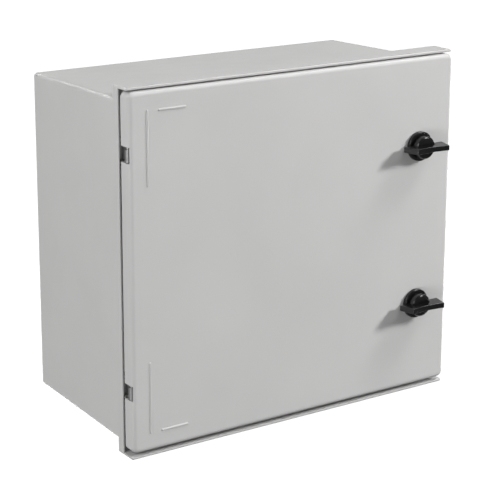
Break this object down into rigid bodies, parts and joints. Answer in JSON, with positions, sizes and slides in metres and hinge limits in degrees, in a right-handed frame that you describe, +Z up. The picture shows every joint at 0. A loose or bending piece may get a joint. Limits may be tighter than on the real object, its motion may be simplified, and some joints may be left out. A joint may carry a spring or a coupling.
{
  "type": "wall-mounted electrical cabinet",
  "caption": "Insulating wall cabinet for switchgear: moulded body with hooded rim, sealed hinged door on quarter-turn wing latches, mounting plate, rails and earth bar.",
  "frame": {"origin": "centre of the four wall holes, on the flat back face", "axes": "+Z up, +Y into the wall, the door faces -Y, the hinges are on the -X side"},
  "size_m": [0.5, 0.2888, 0.47],
  "materials": {
    "body_plastic": "light grey moulded insulating plastic, fine satin grain",
    "door_plastic": "light grey moulded insulating plastic, fine satin grain",
    "seal_foam": "black closed-cell foam",
    "seal_rubber": "black rubber",
    "plate_steel": "galvanised sheet steel with soft spangle",
    "rail_steel": "zinc-plated and passivated steel",
    "fixing_steel": "zinc-plated steel",
    "hinge_zinc": "die-cast zinc, dull grey",
    "pin_steel": "stainless steel",
    "support_plastic": "dark green insulating plastic",
    "bar_brass": "plain brass",
    "latch_black": "black glass-filled nylon",
    "knob_black": "black glass-filled nylon with worn satin sheen",
    "nut_plastic": "black nylon"
  },
  "bodies": {
    "cabinet": {"cabinet_body": "body_plastic", "mounting_plate": "plate_steel", "plate_washers": "fixing_steel", "plate_screws": "fixing_steel", "upper_din_rail": "rail_steel", "lower_din_rail": "rail_steel", "rail_screws": "fixing_steel", "earth_bar_supports": "support_plastic", "earth_bar": "bar_brass", "earth_bar_screws": "fixing_steel", "earth_clamp_screws": "fixing_steel", "upper_hinge_bracket": "hinge_zinc", "lower_hinge_bracket": "hinge_zinc", "hinge_screws": "fixing_steel"},
    "door": {"door_panel": "door_plastic", "door_seal": "seal_foam", "upper_hinge_pin": "pin_steel", "lower_hinge_pin": "pin_steel", "upper_latch_bezel": "latch_black", "upper_bezel_gasket": "seal_rubber", "upper_bush_nut": "nut_plastic", "lower_latch_bezel": "latch_black", "lower_bezel_gasket": "seal_rubber", "lower_bush_nut": "nut_plastic"},
    "upper_handle": {"upper_knob": "knob_black", "upper_spindle": "hinge_zinc", "upper_spindle_seal": "seal_rubber", "upper_cam": "fixing_steel", "upper_cam_washer": "fixing_steel", "upper_cam_nut": "fixing_steel"},
    "lower_handle": {"lower_knob": "knob_black", "lower_spindle": "hinge_zinc", "lower_spindle_seal": "seal_rubber", "lower_cam": "fixing_steel", "lower_cam_washer": "fixing_steel", "lower_cam_nut": "fixing_steel"}
  },
  "joints": [
    {"name": "door_hinge", "type": "hinge", "parent": "cabinet", "child": "door", "pos_m": [-0.2455, -0.2455, 0], "axis": [0, 0, -1], "range_deg": [0, 180]},
    {"name": "upper_latch_turn", "type": "hinge", "parent": "door", "child": "upper_handle", "pos_m": [0.1939, -0.256, 0.1106], "axis": [0, -1, 0], "range_deg": [0, 90]},
    {"name": "lower_latch_turn", "type": "hinge", "parent": "door", "child": "lower_handle", "pos_m": [0.1939, -0.256, -0.1084], "axis": [0, -1, 0], "range_deg": [0, 90]}
  ]
}
